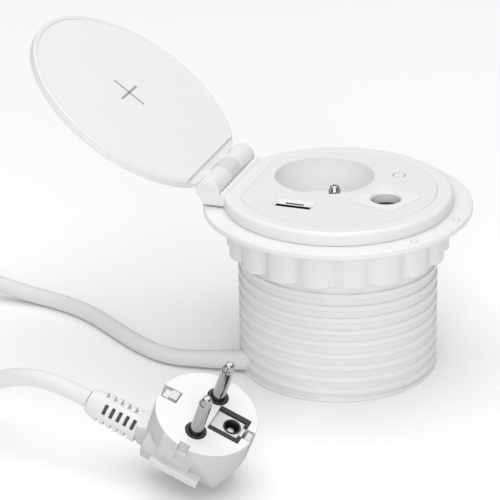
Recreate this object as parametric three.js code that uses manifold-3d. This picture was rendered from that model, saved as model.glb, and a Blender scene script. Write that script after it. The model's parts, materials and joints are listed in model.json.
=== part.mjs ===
// Round desk grommet socket with a hinged lid that holds a wireless charger, with its mains lead and plug.
// Units are millimetres. +Z is up. The origin is the centre of the base's underside, where the barrel stands.
// +Y points from the body's axis to the lid's hinge, and the hinge axis runs along X.
import * as THREE from "three";
import { mergeVertices } from "three/addons/utils/BufferGeometryUtils.js";
import Module from "manifold-3d";

const wasm = await Module();
wasm.setup();

// Driving dimensions
const GAP = 0.3; // clearance between touching pieces
const FIT = 0.6; // the same on a diameter, or on both sides of a slot

const BARREL_R = 39.5; // fits a standard 80 mm desk hole
const BARREL_WALL = 2.4;
const FLANGE_R = 52.95;
const FLANGE_T = 2.4;
const FLANGE_TOP = 68.7;
const FLANGE_BOTTOM = FLANGE_TOP - FLANGE_T;
const SEAT_R = 44.4; // the flange rests on the desk outside this, and is relieved inside it
const SEAT_STEP = 0.4;
const INNER_R = BARREL_R - BARREL_WALL;

const BEZEL_R = 45.2;
const BEZEL_TOP = FLANGE_TOP + 5.4;
const BEZEL_FLAT = 41.5; // the bezel's flat side, towards the hinge
const PANEL_R = 38.9; // opening in the bezel that the panel fills
const PANEL_FLAT = 33.5;
const PANEL_T = 2.4;
const SKIRT_R = INNER_R - GAP;
const SKIRT_INNER_R = 35.7;

const HINGE_Y = 46.6;
const HINGE_Z = FLANGE_TOP + 6.4;
const KNUCKLE_R = 4.8;
const HINGE_LENGTH = 42;
const MIDDLE_KNUCKLE = 11;
const LID_KNUCKLE = 7.7;
const PIN_R = 1.5;

const LID_R = 46.5;
const LID_UNDER = BEZEL_TOP + GAP; // the inner face of the closed lid
const LID_TOP = LID_UNDER + 3.75;
const LID_FLAT = 41; // the closed lid's flat edge
const LID_SEAM = 38.2; // where the inner face ends and the hinge ledge starts
const LID_OPEN = 144.4; // degrees of opening at rest

const CUP = [11.2, 9.0]; // socket recess
const CUP_R = 19.65;
const CUP_DEPTH = 15;
const CUP_WALL = 1.2;
const CUP_FLOOR_T = 2.1;
const CUP_FLOOR = BEZEL_TOP - CUP_DEPTH;
const CONTACT_PITCH = 19; // between the two live holes and between the plug's pins
const EARTH_OFFSET = 10;
const EARTH_DIR = [-0.76, -0.65]; // from the recess centre towards the earth pin
const ACROSS = [0.65, -0.76]; // along the line of the two live holes
const MAINS_PIN_R = 2.4;

const USB = [-21.2, 11.1];
const USB_WINDOW = [6.7, 15];
const USB_PORT = [4.9, 12.6];

const OUTLET = [-4.5, -21];
const OUTLET_SIDE = 20;
const OUTLET_CORNER = 2.5;
const OUTLET_TURN = -22; // degrees about Z
const OUTLET_HOLE_R = 5.7;
const OUTLET_TUBE_R = 7;

const BUTTON = [20.5, -19];
const BUTTON_R = 2.25;

const NUT_TOP = 64.7;
const NUT_H = 15;
const NUT_LOBES = 18;
const NUT_R = 43.9;
const NUT_VALLEY = 1.5;
const NUT_BORE = BARREL_R + 0.4;
const NUT_TURN = 15.1; // degrees from +X to a valley between two lobes
const WASHER_T = 1;

const COVER_T = 2;
const BOSS_RING = 33.9;
const BOSS_ANGLES = [30, 165, 285];

const CORD_R = 3.4;
const GLAND_IN = [-21.1, 20.7, 5.7];
const GLAND_OUT = [-25, 52.6, 3.8];
const GLAND_LENGTH = 32.1;

const PLUG_AT = [-118.8, 11.65, 31.2]; // centre of the plug's face
const PLUG_YAW = 0.6;
const PLUG_PITCH = 22.7; // the cord end is raised
const PLUG_ROLL = -16.9;
const PLUG_R = 19.1;
const PLUG_DEPTH = 29;
const PLUG_PIN = 19;
const RELIEF_Z = -24.8; // axis of the plug's strain relief below its face
const RELIEF_START = 22.9;
const RELIEF_END = 43;

// The cord's points from the gland to the coil, and from the coil to the plug's strain relief
const CORD_UPPER = [
  [-25.04, 52.9, 3.8], [-25.3, 59.2, 3.55], [-23.7, 67.8, 3.45], [-19.2, 77, 3.45], [-12.9, 86.8, 3.45],
  [-5.6, 96.8, 3.45], [1.4, 107, 3.45], [6.8, 118, 3.45], [10.3, 129.5, 3.5], [11.9, 141, 4.2],
  [12.3, 152.5, 6.2], [12, 163.6, 8.9], [12, 167, 9.4],
];
const CORD_LOWER = [
  [-75.1, 168, 3.45], [-75.4, 160, 3.45], [-77.4, 151, 3.5], [-81.8, 142, 4], [-88, 133, 6],
  [-94.2, 124, 9.9], [-99.8, 115, 15.5], [-104.6, 106.5, 21.6], [-108.2, 98, 26.8], [-110.4, 89.5, 30.2],
  [-111.6, 81, 31.3], [-112, 73.2, 30.3], [-112, 66, 28.1], [-111.96, 60.8, 26.1],
];
const COIL_AT = [-31, 194];
const COIL_OUTER = 47.6;
const COIL_INNER = 22.4;
const COIL_H = 4 * CORD_R;

// Materials
const finish = (color, roughness, metalness = 0) =>
  new THREE.MeshStandardMaterial({ color, roughness, metalness });
const gloss = finish(0xf2f2f0, 0.35);
const satin = finish(0xe6e6e4, 0.55);
const matte = finish(0xdcdcda, 0.7);
const black = finish(0x141414, 0.5);
const nickel = finish(0xb9b6b0, 0.25, 1);
const brass = finish(0xc8a24a, 0.35, 1);
const copper = finish(0xb5683a, 0.4, 1);
const steel = finish(0x9a9a9c, 0.35, 1);
const board = finish(0x1f5b35, 0.6);
const ferriteGrey = finish(0x3a3a3c, 0.8);
const rubber = finish(0xe4e4e2, 0.8);

// A closed solid from a three.js geometry
function solid(geometry) {
  const bare = geometry.index ? geometry.toNonIndexed() : geometry.clone();
  bare.deleteAttribute("normal");
  bare.deleteAttribute("uv");
  const merged = mergeVertices(bare, 1e-4);
  const triangles = [];
  for (let i = 0; i < merged.index.count; i += 3) {
    const [a, b, c] = [0, 1, 2].map((k) => merged.index.getX(i + k));
    if (a !== b && b !== c && c !== a) triangles.push([a, b, c]);
  }
  const make = (list) =>
    new wasm.Manifold(
      new wasm.Mesh({
        numProp: 3,
        vertProperties: merged.attributes.position.array,
        triVerts: new Uint32Array(list.flat()),
      }),
    );
  const made = make(triangles);
  return made.volume() < 0 ? make(triangles.map(([a, b, c]) => [a, c, b])) : made;
}

// A solid as a named mesh
function mesh(name, body, material) {
  const out = body.getMesh();
  const geometry = new THREE.BufferGeometry();
  geometry.setAttribute("position", new THREE.BufferAttribute(new Float32Array(out.vertProperties), 3));
  geometry.setIndex(new THREE.BufferAttribute(new Uint32Array(out.triVerts), 1));
  geometry.computeVertexNormals();
  const made = new THREE.Mesh(geometry, material);
  made.name = name;
  return made;
}

const join = (...bodies) => bodies.reduce((a, b) => a.add(b));
const cut = (body, ...tools) => tools.reduce((a, b) => a.subtract(b), body);

// A profile of [radius, height] points turned about Z; it starts and ends on the axis, or closes on itself
function turned(profile, segments = 32, at = [0, 0]) {
  const first = profile[0];
  const onAxis = first[0] === 0 && profile.at(-1)[0] === 0;
  const points = (onAxis ? profile : [...profile, first]).map(([r, z]) => new THREE.Vector2(r, z));
  const geometry = new THREE.LatheGeometry(points, segments);
  geometry.rotateX(Math.PI / 2);
  return solid(geometry.translate(at[0], at[1], 0));
}

const disc = (r, z0, z1, at = [0, 0], segments = 24) =>
  turned([[0, z0], [r, z0], [r, z1], [0, z1]], segments, at);

const ring = (outer, inner, z0, z1, at = [0, 0], segments = 24) =>
  turned([[inner, z0], [outer, z0], [outer, z1], [inner, z1]], segments, at);

function box(low, high) {
  const size = high.map((v, i) => v - low[i]);
  const geometry = new THREE.BoxGeometry(...size);
  return solid(geometry.translate(...low.map((v, i) => v + size[i] / 2)));
}

// An outline in XY raised from z0 to z1
function prism(points, z0, z1) {
  const shape = new THREE.Shape(points.map(([x, y]) => new THREE.Vector2(x, y)));
  const geometry = new THREE.ExtrudeGeometry(shape, { depth: z1 - z0, bevelEnabled: false });
  return solid(geometry.translate(0, 0, z0));
}

// An outline in YZ stretched along X
function slab(points, x0, x1) {
  const shape = new THREE.Shape(points.map(([y, z]) => new THREE.Vector2(y, z)));
  const geometry = new THREE.ExtrudeGeometry(shape, { depth: x1 - x0, bevelEnabled: false });
  const turn = new THREE.Matrix4().makeBasis(
    new THREE.Vector3(0, 1, 0),
    new THREE.Vector3(0, 0, 1),
    new THREE.Vector3(1, 0, 0),
  );
  return solid(geometry.applyMatrix4(turn).translate(x0, 0, 0));
}

// A cylinder along X
function bar(r, x0, x1, y, z, segments = 24) {
  const geometry = new THREE.CylinderGeometry(r, r, x1 - x0, segments);
  return solid(geometry.rotateZ(Math.PI / 2).translate((x0 + x1) / 2, y, z));
}

// A profile of [radius, distance] points turned about the line from one point towards another
function turnedAlong(profile, from, to, segments = 20) {
  const axis = new THREE.Vector3(...to).sub(new THREE.Vector3(...from)).normalize();
  const turn = new THREE.Quaternion().setFromUnitVectors(new THREE.Vector3(0, 1, 0), axis);
  const points = profile.map(([r, s]) => new THREE.Vector2(r, s));
  const geometry = new THREE.LatheGeometry(points, segments).applyQuaternion(turn);
  return solid(geometry.translate(...from));
}

// A round tube through points
function tube(points, r, sides, steps) {
  const curve = new THREE.CatmullRomCurve3(points.map((p) => new THREE.Vector3(...p)), false, "centripetal");
  const section = [];
  for (let i = 0; i < sides; i++) {
    const angle = (i / sides) * 2 * Math.PI;
    section.push(new THREE.Vector2(r * Math.cos(angle), r * Math.sin(angle)));
  }
  return solid(new THREE.ExtrudeGeometry(new THREE.Shape(section), { steps, extrudePath: curve }));
}

// A circle about the body's axis with its +Y side cut off straight, as points
function flatCircle(r, flat, segments = 48) {
  const start = Math.PI / 2 + Math.acos(flat / r);
  const sweep = 2 * Math.PI - 2 * Math.acos(flat / r);
  return Array.from({ length: segments + 1 }, (_, i) => {
    const angle = start + (sweep * i) / segments;
    return [r * Math.cos(angle), r * Math.sin(angle)];
  });
}

const radians = (degrees) => (degrees * Math.PI) / 180;
const polar = (r, degrees) => [r * Math.cos(radians(degrees)), r * Math.sin(radians(degrees))];
const along = ([x, y], [dx, dy], distance) => [x + dx * distance, y + dy * distance];

const part = new THREE.Group();
const add = (name, body, material, group = part) => group.add(mesh(name, body, material));

// A square with its corners cut off, turned about its centre
function plateOutline(side, corner) {
  const h = side / 2;
  const k = h - corner;
  const flat = [[h, -k], [h, k], [k, h], [-k, h], [-h, k], [-h, -k], [-k, -h], [k, -h]];
  const [c, s] = [Math.cos(radians(OUTLET_TURN)), Math.sin(radians(OUTLET_TURN))];
  return flat.map(([x, y]) => [OUTLET[0] + x * c - y * s, OUTLET[1] + x * s + y * c]);
}

const glandBore = (r, from, to) =>
  turnedAlong([[0, from], [r, from], [r, to], [0, to]], GLAND_IN, GLAND_OUT);

function housing() {
  const chamfer = 0.35;
  let barrel = turned(
    [
      [INNER_R, 0], [BARREL_R, 0], [BARREL_R, FLANGE_BOTTOM + SEAT_STEP], [SEAT_R, FLANGE_BOTTOM + SEAT_STEP],
      [SEAT_R, FLANGE_BOTTOM], [FLANGE_R - chamfer, FLANGE_BOTTOM],
      [FLANGE_R, FLANGE_BOTTOM + chamfer], [FLANGE_R, FLANGE_TOP - chamfer], [FLANGE_R - chamfer, FLANGE_TOP],
      [INNER_R, FLANGE_TOP],
    ],
    48,
  );
  for (const angle of BOSS_ANGLES) {
    const at = polar(BOSS_RING, angle);
    barrel = cut(barrel.add(disc(3.3, COVER_T + GAP, 14, at, 16)), disc(1.3, 0, 11, at, 10));
  }
  barrel = cut(barrel, glandBore(4.5, 3, 20));
  add("threaded_barrel", barrel, gloss);

  const notch = prism([[-14.6, 20.3], [-27.6, 18.6], [-35, 34], [-15, 38]], -1, COVER_T + 1);
  let cover = cut(disc(SKIRT_R, 0, COVER_T, [0, 0], 48), disc(OUTLET_TUBE_R + GAP, -1, 3, OUTLET), notch);
  for (const angle of BOSS_ANGLES) {
    const at = polar(BOSS_RING, angle);
    cover = cut(cover, disc(1.3, -1, 3, at, 10), disc(2.6, -1, 1.2, at, 12));
  }
  for (const at of clampBosses()) {
    cover = cut(cover.add(disc(2.8, COVER_T - 0.2, 9.2, at, 12)), disc(1.5, 3, 10, at, 10));
  }
  add("bottom_cover", cover, satin);
  BOSS_ANGLES.forEach((angle, i) => {
    const at = polar(BOSS_RING, angle);
    add(`cover_screw_${i + 1}`, disc(2.3, 0.1, 0.9, at, 12).add(disc(1, 0.5, 10, at, 10)), steel);
  });
}

// The clamp's line across the cord, and where its two screws stand
const CLAMP_AT = [-20.3, 15];
const CLAMP_ACROSS = [0.993, 0.12];
function clampBosses() {
  return [-6.8, 6.8].map((d) => along(CLAMP_AT, CLAMP_ACROSS, d));
}

function cordEntry() {
  const gland = turnedAlong(
    [[0, 0], [4.9, 0], [4.9, 5], [4.15, 5.2], [4.15, 13], [3.65, GLAND_LENGTH], [0, GLAND_LENGTH]],
    GLAND_IN,
    GLAND_OUT,
  );
  add("cord_gland", gland, rubber);
  const tail = [[0, 0], [CORD_R, 0], [CORD_R, 11], [0, 11]];
  add("cord_tail", turnedAlong(tail, [-21.05, 20.4, 5.75], [-19.7, 9.5, 5.75]), gloss);
  const half = along([0, 0], CLAMP_ACROSS, 10);
  const depth = [-CLAMP_ACROSS[1] * 2.6, CLAMP_ACROSS[0] * 2.6];
  const corner = (a, b) => along(along(CLAMP_AT, half, a), depth, b);
  let clamp = prism([corner(-1, -1), corner(1, -1), corner(1, 1), corner(-1, 1)], 9.5, 12.3);
  for (const at of clampBosses()) clamp = cut(clamp, disc(1.5, 9, 13, at, 10));
  add("cord_clamp", clamp, satin);
  clampBosses().forEach((at, i) => {
    add(`clamp_screw_${i + 1}`, disc(2.2, 12.6, 14.1, at, 12).add(disc(1.2, 3.4, 12.8, at, 10)), steel);
  });
  const wire = (name, points, material) => add(name, tube(points, 1.1, 6, 9), material);
  const [live, neutral] = [-1, 1].map((side) => along(CUP, ACROSS, (-side * CONTACT_PITCH) / 2));
  const earth = along(CUP, EARTH_DIR, EARTH_OFFSET);
  const toLive = [[...live, 31], [...live, 39.2]];
  const toNeutral = [[...neutral, 33], [...neutral, 39.2]];
  const toEarth = [[...earth, 38], [...earth, 45.2]];
  wire("live_wire", [[-18, 8.4, 5.2], [-6, 2, 9], [10, -1, 18], ...toLive], brass);
  wire("neutral_wire", [[-21.4, 8.2, 6.2], [-18.4, 5.2, 14], [-9, 11, 24], ...toNeutral], copper);
  wire("earth_wire", [[-18.9, 8.2, 9.2], [-9, 5, 17], [1, 4, 28], ...toEarth], board);
}

const FOOT_Z = FLANGE_TOP + 0.8; // underside of the fixed knuckles' feet
const HALF_HINGE = HINGE_LENGTH / 2;
const HALF_MIDDLE = MIDDLE_KNUCKLE / 2;
const LID_SPANS = [-1, 1].map((side) => {
  const a = side * HALF_MIDDLE;
  const b = side * (HALF_MIDDLE + LID_KNUCKLE);
  return [Math.min(a, b), Math.max(a, b)];
});
const BASE_SPANS = [
  [-HALF_HINGE, LID_SPANS[0][0]],
  [-HALF_MIDDLE, HALF_MIDDLE],
  [LID_SPANS[1][1], HALF_HINGE],
];

function bezel() {
  const upper = prism(flatCircle(BEZEL_R, BEZEL_FLAT), FLANGE_TOP + GAP, BEZEL_TOP);
  const panelSeat = prism(flatCircle(PANEL_R, PANEL_FLAT), BEZEL_TOP - PANEL_T - GAP, BEZEL_TOP + 1);
  const inside = disc(SKIRT_INNER_R, FLANGE_TOP - 12, BEZEL_TOP, [0, 0], 48);
  const skirt = ring(SKIRT_R, SKIRT_INNER_R, FLANGE_TOP - 7, FLANGE_TOP + 1, [0, 0], 48);
  const ribEnd = HALF_HINGE - 0.5;
  const rib = box([-ribEnd, BEZEL_FLAT - 1.8, BEZEL_TOP - 1], [ribEnd, BEZEL_FLAT, BEZEL_TOP + 0.9]);
  let body = cut(upper.add(skirt), panelSeat, inside).add(rib);
  for (const [from, to] of BASE_SPANS) {
    const [x0, x1] = [from === -HALF_HINGE ? from : from + GAP / 2, to === HALF_HINGE ? to : to - GAP / 2];
    const foot = slab(
      [
        [BEZEL_FLAT - 1, FOOT_Z], [HINGE_Y + 1.8, FOOT_Z], [HINGE_Y + 4.2, HINGE_Z - 2.4],
        [HINGE_Y, HINGE_Z], [BEZEL_FLAT - 1, HINGE_Z - 1.2],
      ],
      x0,
      x1,
    );
    body = join(body, foot, bar(KNUCKLE_R, x0, x1, HINGE_Y, HINGE_Z));
  }
  body = cut(body, bar(PIN_R + GAP, -HALF_HINGE - 1, HALF_HINGE + 1, HINGE_Y, HINGE_Z, 12));
  add("top_bezel", body, gloss);
  add("hinge_pin", bar(PIN_R, -HALF_HINGE + 0.8, HALF_HINGE - 0.8, HINGE_Y, HINGE_Z, 12), steel);

  let panel = prism(flatCircle(PANEL_R - GAP, PANEL_FLAT - GAP), BEZEL_TOP - PANEL_T, BEZEL_TOP);
  const through = [BEZEL_TOP - 5, BEZEL_TOP + 1];
  const [w, l] = [USB_WINDOW[0] / 2 + GAP, USB_WINDOW[1] / 2 + GAP];
  panel = cut(
    panel,
    disc(CUP_R + CUP_WALL + GAP, ...through, CUP, 40),
    box([USB[0] - w, USB[1] - l, through[0]], [USB[0] + w, USB[1] + l, through[1]]),
    prism(plateOutline(OUTLET_SIDE + FIT, OUTLET_CORNER), ...through),
    disc(BUTTON_R + GAP, ...through, BUTTON, 20),
  );
  add("socket_panel", panel, matte);
}

function socket() {
  const outer = CUP_R + CUP_WALL;
  const holes = [-1, 1].map((side) => along(CUP, ACROSS, (side * CONTACT_PITCH) / 2));
  const earthAt = along(CUP, EARTH_DIR, EARTH_OFFSET);
  const under = CUP_FLOOR - CUP_FLOOR_T;
  let cup = turned(
    [
      [0, under], [outer, under], [outer, BEZEL_TOP], [CUP_R + 0.4, BEZEL_TOP],
      [CUP_R, BEZEL_TOP - 0.6], [CUP_R, CUP_FLOOR], [0, CUP_FLOOR],
    ],
    40,
    CUP,
  );
  for (const at of holes) cup = cut(cup, disc(2.7, CUP_FLOOR - 4, CUP_FLOOR + 1, at, 16));
  cup = cut(cup, disc(MAINS_PIN_R + GAP, CUP_FLOOR - 4, CUP_FLOOR + 1, earthAt, 16));
  add("socket_cup", cup, satin);

  const tip = CUP_FLOOR + 14.5;
  add(
    "earth_pin",
    turned(
      [[0, 45.6], [MAINS_PIN_R, 45.6], [MAINS_PIN_R, under - 1.6], [3.4, under - 1.6], [3.4, under - GAP],
        [MAINS_PIN_R, under - GAP], [MAINS_PIN_R, tip - 2], [1.9, tip - 0.7], [1, tip - 0.1], [0, tip]],
      16,
      earthAt,
    ),
    nickel,
  );

  const frame = new THREE.Matrix4().makeBasis(
    new THREE.Vector3(ACROSS[0], ACROSS[1], 0),
    new THREE.Vector3(-EARTH_DIR[0], -EARTH_DIR[1], 0),
    new THREE.Vector3(0, 0, 1),
  );
  const placed = (width, near, far, z0, z1) => {
    const geometry = new THREE.BoxGeometry(width, far - near, z1 - z0);
    geometry.translate(0, (near + far) / 2, (z0 + z1) / 2).applyMatrix4(frame);
    return solid(geometry.translate(CUP[0], CUP[1], 0));
  };
  const carrierTop = 54.7;
  let carrier = placed(30, -5, 7, 39.7, carrierTop);
  holes.forEach((at, i) => {
    carrier = cut(carrier, disc(3.7, 39, carrierTop + 1, at, 16));
    add(["contact_live", "contact_neutral"][i], ring(3.4, 2.6, 40, carrierTop - 0.2, at, 16), brass);
  });
  add("contact_carrier", carrier, satin);
  add("shutter", placed(27, -3.5, 3.5, carrierTop + GAP, under - GAP), satin);
  const spring = placed(3, 4, 8.5, carrierTop + 0.4, under - 0.4);
  add("shutter_spring", spring, steel);
}

function chargingPort() {
  const [w, l] = USB_WINDOW.map((v) => v / 2);
  const [pw, pl] = USB_PORT.map((v) => v / 2);
  const floor = 60.2;
  const frame = box([USB[0] - w, USB[1] - l, BEZEL_TOP - 6], [USB[0] + w, USB[1] + l, BEZEL_TOP]);
  const under = BEZEL_TOP - PANEL_T - GAP;
  const block = box([USB[0] - w - 1, USB[1] - l - 1.2, 56], [USB[0] + w + 1, USB[1] + l + 1.2, under]);
  const port = box([USB[0] - pw, USB[1] - pl, floor], [USB[0] + pw, USB[1] + pl, BEZEL_TOP + 1]);
  const stem = box([USB[0] - 1.4, USB[1] - 4, 55], [USB[0] + 1.4, USB[1] + 4, floor + 1]);
  add("usb_body", cut(frame.add(block), port, stem), gloss);
  const shellTop = BEZEL_TOP - 0.8;
  const [sw, sl] = [pw - GAP, pl - GAP];
  const sheet = 0.35;
  const [iw, il] = [sw - sheet, sl - sheet];
  const shell = cut(
    box([USB[0] - sw, USB[1] - sl, floor + GAP], [USB[0] + sw, USB[1] + sl, shellTop]),
    box([USB[0] - iw, USB[1] - il, floor], [USB[0] + iw, USB[1] + il, shellTop + 1]),
  );
  add("usb_shell", shell, nickel);
  const tongue = join(
    box([USB[0] - 1.1, USB[1] - 3.7, 46.1], [USB[0] + 1.1, USB[1] + 3.7, floor + 1]),
    box([USB[0] - 1.7, USB[1] - 5.2, floor + 0.7], [USB[0] + 0.1, USB[1] + 5.2, shellTop - 1]),
  );
  add("usb_tongue", tongue, black);

  add("power_board", box([-29, -4, 44], [-12, 20, 45.6]), board);
  add("transformer", box([-26, -0.5, 31.5], [-14, 12.5, 43.6]), ferriteGrey);
  add("capacitor", disc(3.6, 30, 43.6, [-20, 16.6], 16), black);
}

function cableOutlet() {
  const top = BEZEL_TOP + 0.1;
  const plate = prism(plateOutline(OUTLET_SIDE, OUTLET_CORNER), BEZEL_TOP - 1.8, top);
  const pipe = disc(OUTLET_TUBE_R, 0.2, top - 1, OUTLET, 28);
  const bore = disc(OUTLET_HOLE_R, -1, top + 1, OUTLET, 28);
  const direction = [Math.cos(radians(OUTLET_TURN + 90)), Math.sin(radians(OUTLET_TURN + 90))];
  const side = [direction[1] * 0.4, -direction[0] * 0.4];
  const far = along(OUTLET, direction, 12);
  const slit = prism(
    [
      [OUTLET[0] + side[0], OUTLET[1] + side[1]], [far[0] + side[0], far[1] + side[1]],
      [far[0] - side[0], far[1] - side[1]], [OUTLET[0] - side[0], OUTLET[1] - side[1]],
    ],
    BEZEL_TOP - 2.5,
    top + 1,
  );
  add("cable_outlet", cut(plate.add(pipe), bore, slit), satin);
}

function button() {
  const flange = BEZEL_TOP - PANEL_T - GAP;
  add(
    "power_button",
    disc(BUTTON_R, flange - 0.5, BEZEL_TOP + 0.1, BUTTON, 20).add(disc(3.2, flange - 1, flange, BUTTON, 20)),
    gloss,
  );
  add("button_spring", ring(2.7, 2.1, 66.3, flange - 1.3, BUTTON, 16), steel);
  const [x, y] = BUTTON;
  add("button_switch", box([x - 3, y - 3, 62.2], [x + 3, y + 3, 66]), black);
}

function nut() {
  const steps = 5;
  const outline = [];
  for (let i = 0; i < NUT_LOBES * steps; i++) {
    const turn = (i / steps) * 2 * Math.PI;
    const valley = Math.pow((1 + Math.cos(turn)) / 2, 3);
    outline.push(polar(NUT_R - NUT_VALLEY * valley, NUT_TURN + (i * 360) / (NUT_LOBES * steps)));
  }
  const body = prism(outline, NUT_TOP - NUT_H, NUT_TOP);
  add("clamping_nut", cut(body, disc(NUT_BORE, 0, 70, [0, 0], 48)), gloss);
  const washer = NUT_TOP + GAP;
  add("nut_washer", ring(NUT_R - 0.6, NUT_BORE, washer, washer + WASHER_T, [0, 0], 48), rubber);
}

// The lid is built closed, about its hinge axis, and then turned open
function lid() {
  const open = new THREE.Group();
  open.position.set(0, HINGE_Y, HINGE_Z);
  open.rotation.x = -radians(LID_OPEN);
  part.add(open);
  const fromHinge = (body) => body.translate([0, -HINGE_Y, -HINGE_Z]);
  const put = (name, body, material) => add(name, fromHinge(body), material, open);

  const cavity = LID_UNDER + 1; // top of the inner face
  const roof = LID_TOP - 1;
  const outline = prism(flatCircle(LID_R, LID_FLAT), LID_UNDER, LID_TOP);
  const seat = prism(flatCircle(LID_R - 1.9, LID_SEAM), LID_UNDER - 1, cavity + GAP);
  const hollow = prism(flatCircle(LID_R - 4, LID_SEAM - 3), LID_UNDER, roof);
  const ledge = box([-30, LID_SEAM, LID_UNDER - 1], [30, LID_FLAT + 1, LID_UNDER + 1.2]);
  let shell = cut(outline, seat, hollow, ledge);
  for (const [from, to] of LID_SPANS) {
    const [x0, x1] = [from + GAP / 2, to - GAP / 2];
    const arm = box([x0, LID_FLAT - 1, LID_UNDER + 1.3], [x1, HINGE_Y, LID_TOP]);
    shell = join(shell, arm, bar(KNUCKLE_R, x0, x1, HINGE_Y, HINGE_Z));
  }
  shell = cut(shell, bar(PIN_R + GAP, -HALF_HINGE, HALF_HINGE, HINGE_Y, HINGE_Z, 12));
  put("lid_shell", shell, gloss);
  put("lid_face", prism(flatCircle(LID_R - 2.2, LID_SEAM - GAP), LID_UNDER, cavity), satin);
  put("charging_coil", ring(21, 9, cavity + 0.3, cavity + 0.85, [0, 0], 32), copper);
  put("ferrite_sheet", disc(22, cavity + 1.1, roof - 0.25, [0, 0], 24), ferriteGrey);
  put("lid_board", box([-9, 24.5, cavity + 0.4], [9, 33, cavity + 1.2]), board);
}

// The plug is built about its face's centre: X along the line of the pins, Y towards its cord, Z along the pins
function plug() {
  const frame = new THREE.Group();
  frame.position.set(...PLUG_AT);
  frame.rotation.set(radians(PLUG_PITCH), radians(PLUG_ROLL), radians(PLUG_YAW), "ZXY");
  part.add(frame);
  const put = (name, body, material) => add(name, body, material, frame);
  const half = CONTACT_PITCH / 2;
  const collarR = 3.75;

  const round = disc(PLUG_R, -PLUG_DEPTH, 0, [0, 0], 40);
  const past = PLUG_R + 1;
  const side = slab(
    [
      [-past, 1], [past, 1], [past, -PLUG_DEPTH + 2], [14, -PLUG_DEPTH], [-5, -PLUG_DEPTH],
      [-14.5, -22], [-past, -9],
    ],
    -past,
    past,
  );
  const slope = PLUG_DEPTH - 8;
  const front = prism(
    [[-past, 1], [past, 1], [past, -slope], [12, -PLUG_DEPTH], [-12, -PLUG_DEPTH], [-past, -slope]],
    -past,
    past,
  );
  const neck = turnedAlong([[0, 0], [8.4, 0], [6, 8.6], [0, 8.6]], [0, 12.2, -20.8], [0, 21, RELIEF_Z + 0.4]);
  let body = round.intersect(side).intersect(front.rotate([90, 0, 0])).add(neck);
  for (const x of [-half, half]) {
    body = cut(body, disc(collarR + GAP, -3.3, 1, [x, 0], 16), disc(MAINS_PIN_R + GAP, -9, 1, [x, 0], 16));
  }
  const earthPocket = box([-7, -17.3, -3.4], [7, -3.6, 1]);
  const earthBore = disc(3.8, -14, 1, [0, -EARTH_OFFSET], 16);
  const farGroove = box([-2.9, -past, -9], [2.9, -16.5, 1]);
  const nearGroove = box([-2.9, 11.4, -9], [2.9, past, 1]);
  body = cut(body, earthPocket, earthBore, farGroove, nearGroove);
  put("plug_body", body, gloss);

  [-half, half].forEach((x, i) => {
    const tip = PLUG_PIN;
    const profile = [
      [0, -8.6], [MAINS_PIN_R, -8.6], [MAINS_PIN_R, tip - 1.8], [1.9, tip - 0.7], [1, tip - 0.15], [0, tip],
    ];
    put(`plug_pin_${i + 1}`, turned(profile, 16, [x, 0]), nickel);
    put(`pin_collar_${i + 1}`, ring(collarR, MAINS_PIN_R + GAP, -3, 0.2, [x, 0], 16), black);
  });
  const sleeve = ring(3.4, 2.95, -13.6, -1.6, [0, -EARTH_OFFSET], 16);
  const plate = cut(box([-3.5, -16.6, -2.4], [3.5, -4, -1.2]), disc(2.95, -5, 1, [0, -EARTH_OFFSET], 16));
  put("earth_sleeve", sleeve.add(plate), nickel);
  put("earth_clip_1", box([-2.3, -18.3, -8.6], [2.3, -17.2, -0.6]), nickel);
  const clipFront = box([-2.3, 12.2, -1.6], [2.3, 17.6, -0.7]);
  const clipSide = box([-2.3, 16.6, -8.6], [2.3, 17.6, -0.7]);
  put("earth_clip_2", clipFront.add(clipSide), nickel);
  const relief = turnedAlong(
    [[0, 0], [5.9, 0], [5.2, RELIEF_END - RELIEF_START], [0, RELIEF_END - RELIEF_START]],
    [0, RELIEF_START, RELIEF_Z],
    [0, RELIEF_END, RELIEF_Z],
  );
  put("plug_strain_relief", relief, gloss);
}

function cord() {
  const steps = 14;
  add("cord_upper", tube(CORD_UPPER, CORD_R, 8, steps), gloss);
  add("cord_lower", tube(CORD_LOWER, CORD_R, 8, steps), gloss);
  add("cord_coil", ring(COIL_OUTER, COIL_INNER, 0, COIL_H, COIL_AT, 32), gloss);
}

housing();
cordEntry();
bezel();
socket();
chargingPort();
cableOutlet();
button();
nut();
lid();
plug();
cord();

export default part;
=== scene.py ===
"""Round desk grommet socket with a hinged charging lid, its mains lead and its angled plug.

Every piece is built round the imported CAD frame, in the frame's own axes: +Z up along the barrel,
+Y from the barrel's axis towards the lid's hinge. Lengths in this file are millimetres unless a name
says otherwise, and build() turns them into metres.
"""
import json
import math

import bmesh
import bpy
from mathutils import Euler, Matrix, Vector


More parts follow.
